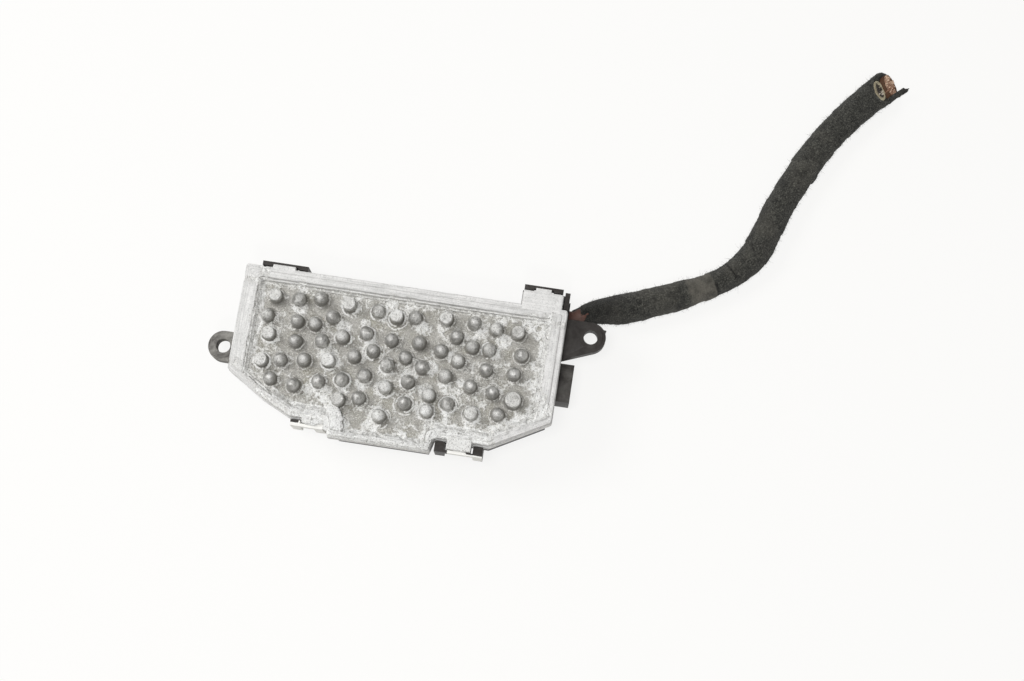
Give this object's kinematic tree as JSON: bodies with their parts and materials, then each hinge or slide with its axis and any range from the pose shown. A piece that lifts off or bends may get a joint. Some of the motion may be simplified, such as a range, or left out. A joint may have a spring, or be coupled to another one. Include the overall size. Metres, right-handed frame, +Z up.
{
  "type": "blower motor resistor",
  "caption": "Flat blower speed regulator: a cast pin-fin heat sink snapped onto a plastic housing with two mounting ears, a socket and a short taped loom.",
  "frame": {"origin": "middle of the object's base without its loom, on the surface that it lies on", "axes": "+X from the left ear to the right ear and the socket, +Y to the back edge with the cable exit, +Z up out of the pins"},
  "size_m": [0.1872, 0.1347, 0.027],
  "materials": {
    "cast_aluminium": "weathered die casting",
    "housing_plastic": "worn black moulding",
    "seal_rubber": "matt",
    "board_laminate": "lacquered",
    "zinc_steel": "zinc plated",
    "spring_steel": "satin",
    "mould_compound": "fine matt",
    "heat_pad": "soft silicone",
    "capacitor_sleeve": "shrink sleeve",
    "ferrite": "pressed ferrite",
    "enamelled_copper": "enamelled winding",
    "resistance_alloy": "bare strip",
    "tinned_brass": "tinned",
    "bare_copper": "dull stranded copper",
    "brown_insulation": "soft insulation",
    "dark_insulation": "soft insulation",
    "fleece_tape": "fleece cloth tape"
  },
  "bodies": {
    "root": {"heat_sink": "cast_aluminium", "housing": "housing_plastic", "seal_ring": "seal_rubber", "circuit_board": "board_laminate", "board_screw_1": "zinc_steel", "board_screw_2": "zinc_steel", "board_screw_3": "zinc_steel", "power_transistor_1": "mould_compound", "power_transistor_2": "mould_compound", "thermal_pad_1": "heat_pad", "thermal_pad_2": "heat_pad", "clamp_spring": "spring_steel", "clamp_screw": "zinc_steel", "capacitor_1": "capacitor_sleeve", "capacitor_2": "capacitor_sleeve", "choke_core": "ferrite", "choke_winding": "enamelled_copper", "shunt": "resistance_alloy", "control_chip": "mould_compound", "suppressor_diode": "mould_compound", "supply_contact_1": "tinned_brass", "supply_contact_2": "tinned_brass", "signal_contact": "tinned_brass", "motor_tab_1": "tinned_brass", "motor_tab_2": "tinned_brass", "inner_core_1": "bare_copper", "inner_core_2": "bare_copper", "cable_grommet": "seal_rubber", "wire_1": "brown_insulation", "wire_2": "dark_insulation", "taped_loom": "fleece_tape", "copper_end_1": "bare_copper", "copper_end_2": "bare_copper"}
  },
  "joints": []
}
